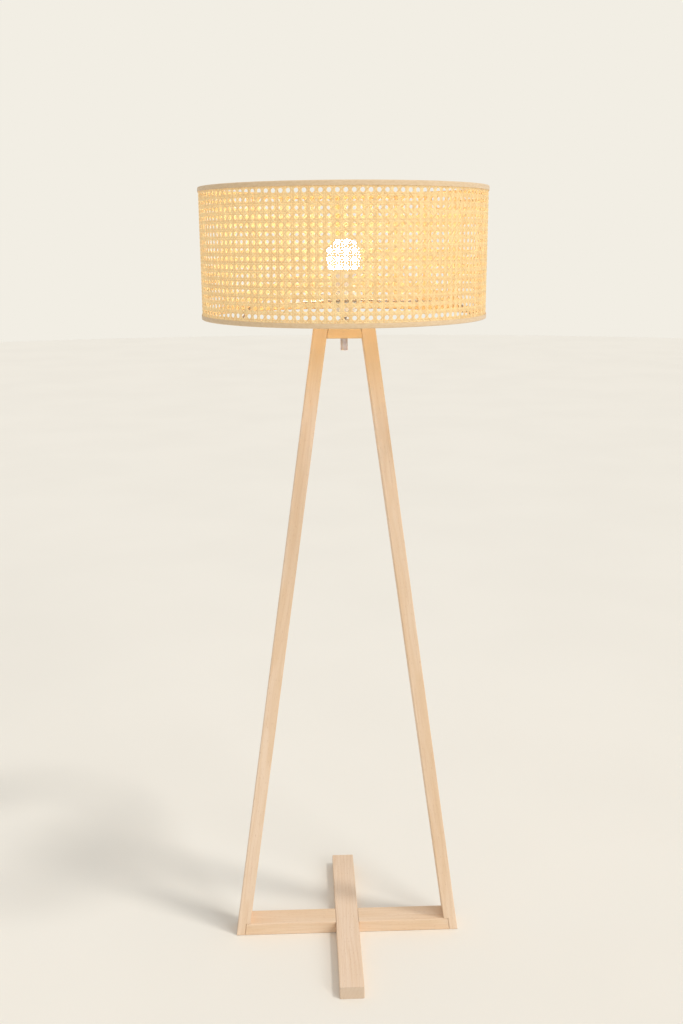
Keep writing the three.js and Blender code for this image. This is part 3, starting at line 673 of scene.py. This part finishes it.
def make_webbing():
    """Six-way open cane. Pairs of upright and level strands weave through
    each other at the crossings; between crossings, one diagonal passes over
    the uprights and under the levels, the other the opposite way, and all
    four leave eight-sided holes."""
    low, high = SKIN_LOW + END_ROOM, SKIN_HIGH - END_ROOM
    columns = np.arange(CANE_COLUMNS)

    first_row = math.floor((low - CANE_FOOT) / CANE_RISE)
    last_row = math.ceil((high - CANE_FOOT) / CANE_RISE)
    shares = (np.arange(first_row, last_row)[:, None] + NODE_STEPS).ravel()
    rises = CANE_FOOT + shares * CANE_RISE
    between = (rises > low + END_ROOM) & (rises < high - END_ROOM)
    rises = np.concatenate([[low], rises[between], [high]])
    row_share = (rises - CANE_FOOT) / CANE_RISE
    pieces = []
    for side, tag in ((-1, "first"), (1, "second")):
        centre = columns[:, None] * CANE_PITCH + side * PAIR_HALF
        stray = chance.uniform(-COLUMN_STRAY, COLUMN_STRAY, (CANE_COLUMNS, 1))
        round_mm = np.broadcast_to(centre + stray, (CANE_COLUMNS, len(rises)))
        height = np.broadcast_to(rises, round_mm.shape)
        lift = np.broadcast_to(-side * NODE_LIFT * node_wave(row_share), height.shape)
        pieces.append(
            strands(
                f"cane_uprights_{tag}", round_mm, height, lift, QUARTER,
                STRAND_WIDE, TONES_APART * (side + 2),
            )
        )

    rows = np.arange(CANE_ROWS + 1)
    turn_share = (columns[:, None] + NODE_STEPS).ravel()
    for side, tag in ((-1, "first"), (1, "second")):
        height = CANE_FOOT + rows[:, None] * CANE_RISE + side * PAIR_HALF
        height = height + chance.uniform(-ROW_STRAY, ROW_STRAY, (len(rows), 1))
        height = np.broadcast_to(height, (len(rows), len(turn_share)))
        round_mm = np.broadcast_to(turn_share * CANE_PITCH, height.shape)
        lift = np.broadcast_to(side * NODE_LIFT * node_wave(turn_share), height.shape)
        pieces.append(
            strands(
                f"cane_levels_{tag}", round_mm, height, lift, 0.0,
                STRAND_WIDE, TONES_APART * (side + 7), closed=True,
            )
        )

    steps = math.ceil((high - low) / CANE_RISE * DIAGONAL_STEPS)
    climb = np.linspace(low, high, steps + 1)
    climb_share = (climb - CANE_FOOT) / CANE_RISE
    for way, tag in ((1, "rising"), (-1, "falling")):
        # a diagonal crosses half way between the crossings of the pairs
        turn = columns[:, None] + 0.5 + way * climb_share
        round_mm = turn * CANE_PITCH
        height = np.broadcast_to(climb, round_mm.shape)
        lift = way * DIAGONAL_LIFT * np.cos(TURN * turn)
        lean = math.atan2(CANE_RISE, way * CANE_PITCH)
        pieces.append(
            strands(
                f"cane_diagonals_{tag}", round_mm, height, lift, lean,
                DIAGONAL_WIDE, TONES_APART * (way + 12),
            )
        )
    for made in pieces:
        finish_piece(made, "shade", CANE, "cane", "cane_skin")


# ---- tapes on the rims and over the seam ----

TAPE_BEND_OUT = 1.5
TAPE_BEND_IN = 3.0
BEND_STEPS = 9
SLIT_HALF = ARM_WIRE / 2 + LAYER_GAP
SLIT_LEVEL = HOOP_RISE - ARM_WIRE / 2 - 2 * LAYER_GAP
SLIT_SIDE = 1e-4  # radians in which the tape falls back at a slit
TAPE_STEPS_ROUND = 360
TAPE_STEPS_ACROSS = 40
SEAM_STEPS = 60
WAVES_ROUND = (11, 17, 29, 41, 67)
WAVE_SIZES = (0.03, 0.07)
STRAY_OUT, STRAY_ALONG = 0.5, 0.35  # shares of the waves
PRESSED_IN = 0.08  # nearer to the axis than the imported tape
THIN_EDGE = 0.6  # wall along both edges, as a share of the rest


def fold_line():
    """Middle line of a folded tape: down the outside, round under the rim
    and up behind the hoop, as radius and height."""
    out = DRUM_RADIUS - TAPE_WALL / 2
    back = HOOP_RADIUS - HOOP_WIRE / 2 - LAYER_GAP - TAPE_WALL / 2
    foot = TAPE_WALL / 2
    quarter = np.linspace(0, QUARTER, BEND_STEPS)
    corner_out = points(
        out - TAPE_BEND_OUT + TAPE_BEND_OUT * np.cos(quarter),
        foot + TAPE_BEND_OUT - TAPE_BEND_OUT * np.sin(quarter),
    )
    corner_in = points(
        back + TAPE_BEND_IN - TAPE_BEND_IN * np.sin(quarter),
        foot + TAPE_BEND_IN - TAPE_BEND_IN * np.cos(quarter),
    )
    return np.concatenate(
        [[[out, TAPE_OUTER_LAP]], corner_out, corner_in, [[back, TAPE_INNER_LAP]]]
    )


def folded_tape(name, node, base, upward, slit_azimuths):
    """Tape carried round a rim. Where a spider arm comes through, the line
    stops short of it, which leaves a slit in the inner lap. A small seeded
    wander of the laps stands for glued cloth."""
    line = fold_line()
    reach = np.concatenate([[0], np.cumsum(np.hypot(*np.diff(line, axis=0).T))])
    angles = np.linspace(0, TURN, TAPE_STEPS_ROUND, endpoint=False)
    edge = SLIT_HALF / line[-1, 0]
    for azimuth in np.radians(slit_azimuths):
        near = np.array([-edge - SLIT_SIDE, -edge, edge, edge + SLIT_SIDE]) + azimuth
        kept = np.abs((angles - azimuth + math.pi) % TURN - math.pi) > 2 * edge
        angles = np.concatenate([angles[kept], near % TURN])
    angles = np.sort(angles % TURN)
    inside = np.zeros(len(angles), bool)
    for azimuth in np.radians(slit_azimuths):
        off = np.abs((angles - azimuth + math.pi) % TURN - math.pi)
        inside |= off < edge + SLIT_SIDE / 2
    rising = slice(BEND_STEPS + 1, 2 * BEND_STEPS + 1)  # the bend behind the hoop
    short = np.interp(SLIT_LEVEL, line[rising, 1], reach[rising])
    longest = np.where(inside, short, reach[-1])[:, None]
    share = np.linspace(0, 1, TAPE_STEPS_ACROSS)[None, :]
    at = share * longest
    middle = points(*(np.interp(at, reach, line[:, i]) for i in (0, 1)))
    flow = np.gradient(middle, axis=1)
    flow /= np.linalg.norm(flow, axis=-1, keepdims=True)
    normal = points(flow[..., 1], -flow[..., 0])
    waves = sum(
        np.sin(k * angles[:, None] + chance.uniform(0, TURN))
        * chance.uniform(*WAVE_SIZES)
        for k in WAVES_ROUND
    )
    fade = np.clip((middle[..., 1] - TAPE_BEND_IN) / TAPE_INNER_LAP, 0, 1)
    half = TAPE_WALL / 2 * np.ones_like(share)
    half[:, [0, -1]] *= THIN_EDGE
    thick = normal * half[..., None]
    loop = np.concatenate([middle + thick, (middle - thick)[:, ::-1]], axis=1)
    stray = waves * fade
    drift = points(STRAY_OUT * stray - PRESSED_IN, STRAY_ALONG * stray)
    loop = loop + np.concatenate([drift, drift[:, ::-1]], axis=1)
    loop[..., 0] = np.minimum(loop[..., 0], DRUM_RADIUS)
    level = base + loop[..., 1] if upward else base - loop[..., 1]
    turn = angles[:, None]
    grid = round_axis(loop[..., 0], turn, level)
    run = np.concatenate([at, at[:, ::-1]], axis=1)
    marks = points(turn * DRUM_RADIUS, run, 0.0)
    if upward:  # so that the faces point outwards at either rim
        grid, marks = grid[:, ::-1], marks[:, ::-1]
    made = grid_mesh(name, grid[None], True, True, sharp=60, marks=marks[None])
    finish_piece(made, "shade", TAPE, "tape", node)


def make_seam_tape():
    """A strip on the inside of the webbing: an arc of the drum by its height,
    with rounded long edges."""
    low, high = heights("seam_tape")
    outer = SKIN_OUTER - SKIN_WALL - LAYER_GAP
    middle = outer - TAPE_WALL / 2
    edge = np.array([-1, -0.97, -0.5, 0, 0.5, 0.97, 1]) * SEAM_WIDTH / 2
    thin = np.array([0.5, 1, 1, 1, 1, 1, 0.5]) * TAPE_WALL / 2
    face = np.concatenate([edge, edge[::-1]])
    depth = np.concatenate([middle + thin, middle - thin])
    rise = np.linspace(low, high, SEAM_STEPS)[:, None]
    turn = math.radians(SEAM_AZIMUTH) + face / outer
    grid, marks = round_axis(depth, turn, rise), points(rise, face, 0.0)
    made = grid_mesh(
        "seam_tape_inside", grid[None], False, True, ends=True, marks=marks[None]
    )
    finish_piece(made, "shade", TAPE, "tape", "seam_tape")


# ---- wire frame of the shade ----

ARM_TAIL = 12.0
ARM_DROP = 26.0
ARM_BEND = 9.0
WELD_RUN = 2.2
WELD_SWELL = 0.7
WELD_TAIL = 0.35  # share of the swell one step along
WELD_SINK = 0.4  # of an arm's end into the hoop
HUB_LAP = 1.5  # of an arm's start over the hub ring
HUB_EASE = 0.6
HOOP_STEPS = 192


def make_wire_frame():
    """Hoops are round wire in a circle. Arms run level from the hub, slope
    down near the rim and run level into the bottom hoop; each bend is a
    quadratic curve, and each end swells into its weld."""
    angle = np.linspace(0, TURN, HOOP_STEPS, endpoint=False)
    for name, node, level in (
        ("hoop_low", "bottom_hoop_wire", RIM_LOW + HOOP_RISE),
        ("hoop_high", "top_hoop_wire", RIM_HIGH - HOOP_RISE),
    ):
        ring = round_axis(HOOP_RADIUS, angle, level)
        made = wire(name, ring[None], HOOP_WIRE / 2, sides=12, closed=True)
        finish_piece(made, "shade", ENAMEL, "wire_enamel", node)

    hub_low, hub_high = heights("spider_hub_ring")
    hub_radius = radius_of("spider_hub_ring")
    hub_level = (hub_low + hub_high) / 2
    end = HOOP_RADIUS - HOOP_WIRE / 2 + WELD_SINK
    lower = np.array([end - ARM_TAIL, RIM_LOW + HOOP_RISE])
    upper = np.array([end - ARM_TAIL - ARM_DROP, hub_level])
    slope = (lower - upper) / np.linalg.norm(lower - upper) * ARM_BEND
    level = np.array([ARM_BEND, 0.0])
    t = np.linspace(0, 1, 9)[:, None]
    bends = [
        (1 - t) ** 2 * a + 2 * t * (1 - t) * b + t**2 * c
        for a, b, c in (
            (upper - level, upper, upper + slope),
            (lower - slope, lower, lower + level),
        )
    ]
    start = np.array([hub_radius - HUB_LAP, hub_level])
    run_in = start + np.linspace(0, 1, 12)[:-1, None] * (upper - level - start)
    run_in[1:3, 0] = start[0] + np.array([WELD_RUN, 2 * WELD_RUN])
    tail = np.array(
        [[end - 2 * WELD_RUN, lower[1]], [end - WELD_RUN, lower[1]], [end, lower[1]]]
    )
    line = np.concatenate([run_in, bends[0], bends[1], tail])
    thick = np.full(len(line), ARM_WIRE / 2)
    thick[[0, -1]] += WELD_SWELL
    thick[[1, -2]] += WELD_SWELL * WELD_TAIL
    for tag, azimuth in ARM_AZIMUTHS.items():
        path = round_axis(line[:, 0], math.radians(azimuth), line[:, 1])
        made = wire(f"spider_wire_{tag}", path[None], thick[None], sides=16)
        finish_piece(made, "shade", ENAMEL, "wire_enamel", f"spider_arm_{tag}")

    outline = rounded(ring_corners(HUB_BORE, hub_radius, hub_low, hub_high), HUB_EASE)
    finish_piece(
        turned("hub_ring", outline), "shade", ENAMEL, "wire_enamel", "spider_hub_ring"
    )


# ---- lamp holder and its fittings ----

THREAD_STEPS = 8  # points in one pitch of a drawn thread
HAIR = 0.1  # keeps two rings or radii apart
TUBE_HOLE = 5.3  # radius of the holes that the lamp tube goes through


def threaded_wall(radius, low, high, pitch):
    """Points up a wall, close enough to carry a thread of that pitch."""
    count = max(2, math.ceil((high - low) / pitch * THREAD_STEPS))
    rise = np.linspace(low, high, count + 1)
    return points(radius, rise)


def thread(radius, low, high, pitch, depth):
    """Outward shift of a right-hand thread: the wave climbs one pitch in one
    turn, lies within the wall's radius and fades at both ends."""

    def ripple(angle, radii, rise):
        wave = 0.5 + 0.5 * np.cos(TURN * rise / pitch - angle)
        fade = np.clip(np.minimum(rise - low, high - rise) / pitch, 0, 1)
        on_wall = np.abs(radii - radius) < 1e-3
        return np.where(on_wall, -depth * (1 - wave * fade), 0.0)

    return ripple


def make_holder():
    """The cap is a boss, a quarter-ellipse dome and a straight shoulder, with
    an even wall. The body is a flange below a threaded wall."""
    low, high = heights("holder_cap")
    outer = radius_of("holder_cap")
    boss, boss_rise, shoulder, wall = 8.5, 7.0, 6.0, 2.0
    ease, rim_ease = 0.6, 0.4
    foot, top = low + boss_rise, high - shoulder
    sweep = np.linspace(0, QUARTER, 12)
    out, up = np.sin(sweep), (top - foot) * (1 - np.cos(sweep))
    dome = points(boss + (outer - boss) * out, foot + up)
    roof = points(boss + (outer - wall - boss) * out, foot + wall + up)[::-1]
    outline = np.concatenate(
        [
            [[TUBE_HOLE, low], [boss - ease, low], [boss, low + ease]],
            [[boss, foot - ease]],
            dome[1:],
            [[outer, high - rim_ease], [outer - rim_ease, high], [outer - wall, high]],
            roof[:-1],
            [[TUBE_HOLE, foot + wall]],
        ]
    )
    finish_piece(
        turned("holder_cap_moulding", outline), "stand", MOULDING, "holder_plastic",
        "holder_cap",
    )

    low, high = heights("holder_body")
    flange = radius_of("holder_body")
    bore, wall_radius, flange_rise, pitch, depth = 17.1, 19.7, 6.0, 2.5, 0.7
    big_ease, ease, small_ease = 0.9, 0.6, 0.4
    foot, top = low + flange_rise, high - big_ease
    outline = np.concatenate(
        [
            [[bore, low], [flange - big_ease, low], [flange, low + big_ease]],
            [[flange, foot - ease], [flange - ease, foot]],
            [[wall_radius - big_ease, foot]],
            threaded_wall(wall_radius, foot + HAIR, top, pitch),
            [[wall_radius - big_ease, high], [bore + small_ease, high]],
            [[bore, high - small_ease]],
        ]
    )
    made = turned(
        "holder_body_moulding",
        outline,
        ripple=thread(wall_radius, foot, top, pitch, depth),
        sharp=50,
    )
    finish_piece(made, "stand", MOULDING, "holder_plastic", "holder_body")


def make_ring_nut():
    """Ribs round the outside: a wave with flat tops and grooves."""
    low, high = heights("ring_nut")
    outer = radius_of("ring_nut")
    ribs, rib_depth, rib_slope, rib_zone, ease = 24, 1.2, 1.6, 2.0, 0.9
    outline = rounded(ring_corners(HUB_BORE, outer, low, high), ease)

    def ripple(angle, radii, rise):
        wave = np.clip(0.5 + rib_slope * np.cos(ribs * angle - math.pi / 4), 0, 1)
        return np.where(radii > outer - rib_zone, -rib_depth * (1 - wave), 0.0)

    made = turned("ring_nut_moulding", outline, sides=ribs * 12, ripple=ripple)
    finish_piece(made, "ring_nut", MOULDING, "holder_plastic", "ring_nut")


def make_tube_fittings():
    """The lamp tube is threaded from end to end, the washer is a flat ring,
    and the nut is turned to its corners and cut back to six flats."""
    low, high = heights("threaded_tube")
    outer = radius_of("threaded_tube")
    bore, pitch, depth, ease, room = 3.8, 1.0, 0.45, 0.5, 0.3
    outline = np.concatenate(
        [
            [[bore, low], [outer - ease, low]],
            threaded_wall(outer, low + room, high - room, pitch),
            [[outer - ease, high], [bore, high]],
        ]
    )
    ripple = thread(outer, low, high, pitch, depth)
    made = turned("lamp_tube", outline, sides=48, ripple=ripple, sharp=50)
    finish_piece(made, "stand", ZINC, "steel", "threaded_tube")

    low, high = heights("tube_washer")
    outer, ease = radius_of("tube_washer"), 0.4
    outline = rounded(ring_corners(TUBE_HOLE, outer, low, high), ease)
    finish_piece(turned("washer", outline), "stand", ZINC, "steel", "tube_washer")

    low, high = heights("tube_nut")
    flats, chamfer, sixth = 8.5, 0.9, math.pi / 3
    corner = flats / math.cos(sixth / 2)
    outline = np.array(
        [
            [TUBE_HOLE, low], [flats, low], [corner, low + chamfer],
            [corner, (low + high) / 2], [corner, high - chamfer], [flats, high],
            [TUBE_HOLE, high],
        ]
    )

    def hexagon(angle, radii, rise):
        limit = flats / np.cos(angle % sixth - sixth / 2)
        cut_back = np.minimum(radii, limit) - radii
        return np.where(radii > TUBE_HOLE + HAIR, cut_back, 0.0)

    made = turned("hexagon_nut", outline, sides=72, ripple=hexagon, sharp=25)
    finish_piece(made, "stand", ZINC, "steel", "tube_nut")


def make_cord_grip():
    """A round moulding with a wide socket for the tube and a hole for a
    cord below it."""
    low, high = heights("cord_grip_body")
    outer = radius_of("cord_grip_body")
    bore, socket, floor, ease = 3.6, 5.3, low + 11.7, 0.8
    corners = [
        [bore, low], [outer, low], [outer, high], [socket, high],
        [socket, floor], [bore, floor],
    ]
    made = turned("cord_grip_moulding", rounded(corners, ease, 5))
    finish_piece(made, "stand", NYLON, "nylon", "cord_grip_body")


# ---- bulb ----

BULB_LIFT = 0.57757  # millimetres for each radian, as its joint has it
BULB_THREAD = BULB_LIFT * TURN
BULB_WALL = 1.4


def make_screw_cap():
    """A thin threaded shell whose upper end is rolled over the neck."""
    low, high = heights("bulb_cap")
    outer, wall, depth = radius_of("bulb_cap"), 0.6, 0.75
    inner, top = outer - 2 * wall, high - 2.5
    rolled = [[-0.9, -2.2], [-0.2, -1.6], [0, -0.4], [-0.3, 0]]
    outline = np.concatenate(
        [
            [[inner, low], [outer - wall, low]],
            threaded_wall(outer, low + wall, top, BULB_THREAD),
            np.array(rolled) + [outer, high],
            [[inner, high]],
        ]
    )
    ripple = thread(outer, low, top, BULB_THREAD, depth)
    made = turned("bulb_screw_cap", outline, ripple=ripple, sharp=60)
    finish_piece(made, "bulb", NICKEL, "nickel", "bulb_cap")


def make_neck():
    """A spigot in the cap below a flare, whose radius follows a blend of a
    power and a straight line; a ledge inside its top carries the board."""
    low, high = heights("bulb_neck_housing")
    top = radius_of("bulb_neck_housing")
    spigot, foot, inner_wall, power, curved = 12.35, 14.2, 3.4, 1.9, 0.75
    ease, rim_ease, bed, bed_drop, bed_foot = 0.6, 0.4, 3.0, 1.5, 6.0
    foot_rise = heights("bulb_cap")[1] + LAYER_GAP
    flare = np.linspace(0, 1, 20)
    swell = flare**power * curved + flare * (1 - curved)
    rise = foot_rise + ease + (high - ease - foot_rise) * flare
    side = points(foot + (top - foot) * swell, rise)
    inside = (side - [inner_wall, 0])[:15][::-1]
    mouth = top - BULB_WALL
    ledge = [
        [mouth, high - bed_drop], [mouth - bed, high - bed_drop],
        [mouth - bed - ease, high - bed_foot],
    ]
    outline = np.concatenate(
        [
            [[spigot - BULB_WALL, low], [spigot, low], [spigot, foot_rise]],
            [[foot - ease, foot_rise]],
            side,
            [[top - rim_ease, high], [mouth, high]],
            ledge,
            inside,
            [[spigot - BULB_WALL, foot_rise]],
        ]
    )
    finish_piece(
        turned("bulb_neck", outline), "bulb", NECK, "bulb_plastic", "bulb_neck_housing"
    )


def make_dome():
    """A half sphere on a waist, an ellipse that narrows to the neck."""
    low, high = heights("bulb_dome")
    outer, foot = radius_of("bulb_dome"), radius_of("bulb_neck_housing")
    centre = high - outer

    def shell(radius, base):
        squeeze = math.sqrt(1 - (base / radius) ** 2)
        depth = (centre - low) / squeeze
        rise = np.linspace(low, centre, 10)[:-1]
        waist = points(radius * np.sqrt(1 - ((centre - rise) / depth) ** 2), rise)
        angle = np.linspace(0, QUARTER, 24)
        crown = points(radius * np.cos(angle), centre + radius * np.sin(angle))
        crown[-1, 0] = 0.0
        return np.concatenate([waist, crown])

    inner = shell(outer - BULB_WALL, foot - BULB_WALL)
    profile = np.concatenate([inner[::-1], shell(outer, foot)])
    finish_piece(domed("bulb_globe", profile), "bulb", OPAL, "opal", "bulb_dome")


# ---- floor, world and lamps ----

FLOOR_TONE = "#F1ECE2"
FLOOR_REACH = 14000
FLOOR_DROP = 0.3  # below the feet
WORLD_LIGHT = 0.61


def make_floor():
    """A disc of rings out from the axis, wide enough for every view."""
    radius = np.concatenate([[0.01], np.geomspace(200, FLOOR_REACH, 14)])
    angle = np.linspace(0, TURN, 96, endpoint=False)
    grid = round_axis(radius[:, None], angle, -FLOOR_DROP)
    made = grid_mesh("studio_floor", grid[None], False, True)
    finish, tree, shader = base_material(
        "rolled_paper", FLOOR_TONE, 0.9, Specular_IOR_Level=0.1
    )
    place = add(tree, "TexCoord").outputs["Object"]
    mottle = noise(tree, stretched(tree, place, (700,) * 3))
    tone = tinted(tree, linear("#F2EDE3"), "#F0EBE1", mottle, 0.3, 0.7)
    tree.links.new(tone, shader.inputs["Base Color"])
    made.data.materials.append(finish)


def light_world():
    """Even light from all round; camera, gloss and glass see the backdrop."""
    world = bpy.data.worlds.new("studio")
    bpy.context.scene.world = world
    world.use_nodes = True
    tree = world.node_tree
    path = add(tree, "LightPath")
    seen = path.outputs["Is Camera Ray"]
    for name in ("Is Glossy Ray", "Is Transmission Ray"):
        seen = maths(tree, "MAXIMUM", seen, path.outputs[name])
    light = add(
        tree, "Background", {"Color": (1.0, 0.995, 0.985, 1.0), "Strength": WORLD_LIGHT}
    )
    backdrop = add(tree, "Background", {"Color": linear("#F2EEE4"), "Strength": 1.0})
    mixed = add(
        tree, "MixShader", {0: seen, 1: light.outputs[0], 2: backdrop.outputs[0]}
    )
    output = tree.nodes["World Output"]
    tree.links.new(mixed.outputs[0], output.inputs["Surface"])


def window_light(name, place, power, spread, colour):
    """A distant lamp that shines from a place towards the axis; spread is
    its apparent width in degrees, which softens its shadows."""
    data = bpy.data.lights.new(name, "SUN")
    data.energy, data.color, data.angle = power, colour, math.radians(spread)
    lamp = bpy.data.objects.new(name, data)
    bpy.context.scene.collection.objects.link(lamp)
    back = np.array(place, float) / np.linalg.norm(place)
    right = np.cross([0.0, 0.0, 1.0], back)
    right /= np.linalg.norm(right)
    pose = np.eye(4)
    pose[:3, 0], pose[:3, 1], pose[:3, 2] = right, np.cross(back, right), back
    pose[:3, 3] = place
    lamp.matrix_world = pose.T.tolist()


place_camera()
make_webbing()
folded_tape("tape_low", "bottom_trim", RIM_LOW, True, list(ARM_AZIMUTHS.values()))
folded_tape("tape_high", "top_trim", RIM_HIGH, False, [])
make_seam_tape()
make_wire_frame()
make_holder()
make_ring_nut()
make_tube_fittings()
make_cord_grip()
make_screw_cap()
make_neck()
make_dome()

for timber_node, board in TIMBER_FINISH.items():
    refinish(board, timber_node)
refinish(
    DOWEL,
    *(
        f"{joint}_dowel_{side}_{end}"
        for joint in ("foot", "head")
        for side in ("left", "right")
        for end in ("front", "back")
    ),
)
refinish(ZINC, "lap_screw", "holder_lock_screw")
refinish(NYLON, "cord_grip_screw")
refinish(STEATITE, "holder_insert")
refinish(
    BRASS, "centre_contact", "screw_shell", "terminal_screw_live",
    "terminal_screw_neutral", "bulb_tip_contact",
)
refinish(VITRITE, "bulb_insulator")
refinish(BOARD, "bulb_led_board")

make_floor()
light_world()
window_light("window", (1.6, -1.9, 1.2), 0.94, 24, (0.97, 0.99, 1.0))
window_light("lamp_above", (1.6, -0.8, 2.8), 0.9, 8, (1.0, 0.985, 0.955))
bpy.context.scene.view_settings.view_transform = "Standard"
